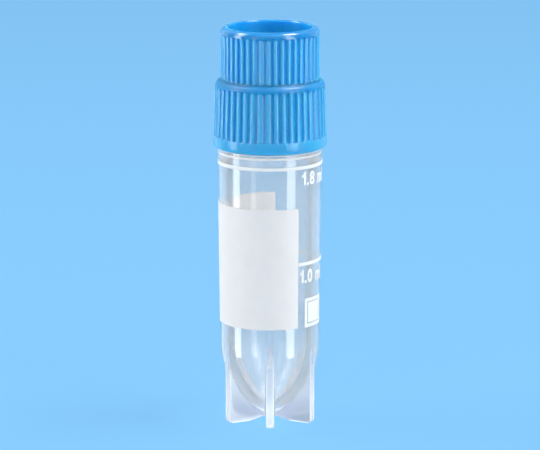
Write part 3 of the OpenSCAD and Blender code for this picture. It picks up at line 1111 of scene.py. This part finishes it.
def backgroundRay(tree):
    # 1 for rays that see the background plainly, straight on, in gloss or through clear plastic
    paths = addNode(tree, "ShaderNodeLightPath").outputs
    seen = addMath(tree, "MAXIMUM", paths["Is Camera Ray"], paths["Is Glossy Ray"])
    seen = addMath(tree, "MAXIMUM", seen, paths["Is Transmission Ray"])
    return addMath(tree, "MULTIPLY", seen, addMath(tree, "LESS_THAN", paths["Diffuse Depth"], 0.5))


def backdropTone(tree, look, coordinates, sideTone):
    # the backdrop's colour, plain to the eye, with painted shade darkening it to the sides in gloss and
    # through clear plastic
    paths = addNode(tree, "ShaderNodeLightPath")
    parts = placeParts(tree, coordinates)
    square = addMath(tree, "MULTIPLY", parts["X"], parts["X"])
    whole = addMath(tree, "ADD", square, addMath(tree, "MULTIPLY", parts["Y"], parts["Y"]))
    aside = addMath(tree, "SQRT", addMath(tree, "DIVIDE", square, whole))
    unseen = addMath(tree, "SUBTRACT", 1, paths.outputs["Is Camera Ray"])
    share = addMath(tree, "MULTIPLY", rangeOf(tree, aside, *look["sides"], kind="SMOOTHSTEP"), unseen)
    return mixColours(tree, share, look["backdrop"], sideTone)


def makeFloor(look):
    deselectAll()
    bpy.ops.mesh.primitive_grid_add(x_subdivisions=look["floorFaces"], y_subdivisions=look["floorFaces"],
                                    size=2 * look["floorReach"])
    floor = nameNew("floor")
    material = bpy.data.materials.new("paleFloor")
    material.use_nodes = True
    tree = material.node_tree
    tree.nodes.remove(tree.nodes["Principled BSDF"])
    seen = backgroundRay(tree)
    backdrop = backdropTone(tree, look, "Object", look["floorSideTone"])
    matte = addNode(tree, "ShaderNodeBsdfDiffuse")
    tree.links.new(mixColours(tree, seen, look["floorColour"], backdrop), matte.inputs["Color"])
    glow = addNode(tree, "ShaderNodeEmission")
    tree.links.new(backdrop, glow.inputs["Color"])
    glow.inputs["Strength"].default_value = look["glowStrength"]
    glowing = addMath(tree, "MULTIPLY", seen, look["glow"])
    mixShaders(tree, glowing, matte.outputs[0], glow.outputs[0], "Material Output")
    floor.data.materials.append(material)
    floor.visible_glossy = False


def makeWorld(look):
    world = bpy.data.worlds.new("studio")
    bpy.context.scene.world = world
    world.use_nodes = True
    tree = world.node_tree
    lit = tree.nodes["Background"]
    setInputs(lit, {"Color": (*look["ambient"], 1), "Strength": look["ambientStrength"]})
    seen = addNode(tree, "ShaderNodeBackground")
    tree.links.new(backdropTone(tree, look, "Generated", look["sideTone"]), seen.inputs["Color"])
    mixShaders(tree, backgroundRay(tree), lit.outputs[0], seen.outputs[0], "World Output")


lamps = {  # degrees right of the camera, degrees up, distance, width, length, watts
    "rightBox": (48, 0, 0.36, 0.13, 0.53, 1.3),
    "leftBox": (-80, 0, 0.36, 0.115, 0.53, 1.35),
    "fillCard": (-37, 0, 0.40, 0.085, 0.53, 0.28),
    "backRight": (128, 0, 0.36, 0.25, 0.53, 0.2),
    "backLeft": (-132, 0, 0.36, 0.25, 0.53, 0.3),
    "overLeft": (-105, 52, 0.4, 0.12, 0.12, 0.75),
    "overRight": (90, 62, 0.4, 0.16, 0.12, 1.75),
    "overTop": (0, 66, 0.48, 0.35, 0.35, 0.4),
}
uprightAim, overheadAim = 0.135, capHigh.z / perMetre  # heights that the lamps point at


def makeLamps():
    for name, (turn, up, distance, width, length, watts) in lamps.items():
        angle, rise = front + math.radians(turn), math.radians(up)
        way = Vector((*(wayTo(angle) * math.cos(rise)), math.sin(rise)))
        place = way * distance + Vector((0, 0, overheadAim if up else uprightAim))
        facing = (quarterTurn - rise, 0, angle + quarterTurn)
        bpy.ops.object.light_add(type="AREA", location=place, rotation=facing)
        lamp = nameNew(name)
        lamp.data.shape = "RECTANGLE"
        lamp.data.size, lamp.data.size_y = width, length
        lamp.data.energy = watts
        lamp.visible_camera = False


cameraLook = {"distance": 0.45, "elevation": 11.7, "aimZ": 0.02382, "lens": 249.2, "clip": (0.01, 20)}


def makeCamera(look):
    tilt = math.radians(look["elevation"])
    place = Vector((0, -math.cos(tilt) * look["distance"], look["aimZ"] + math.sin(tilt) * look["distance"]))
    bpy.ops.object.camera_add(location=place, rotation=(quarterTurn - tilt, 0, 0))
    camera = nameNew("studioCamera")
    camera.data.lens = look["lens"]
    camera.data.clip_start, camera.data.clip_end = look["clip"]
    bpy.context.scene.camera = camera


print("floor, light and camera")
makeFloor(stageLook)
makeWorld(stageLook)
makeLamps()
makeCamera(cameraLook)
bpy.context.scene.view_settings.view_transform = "Standard"
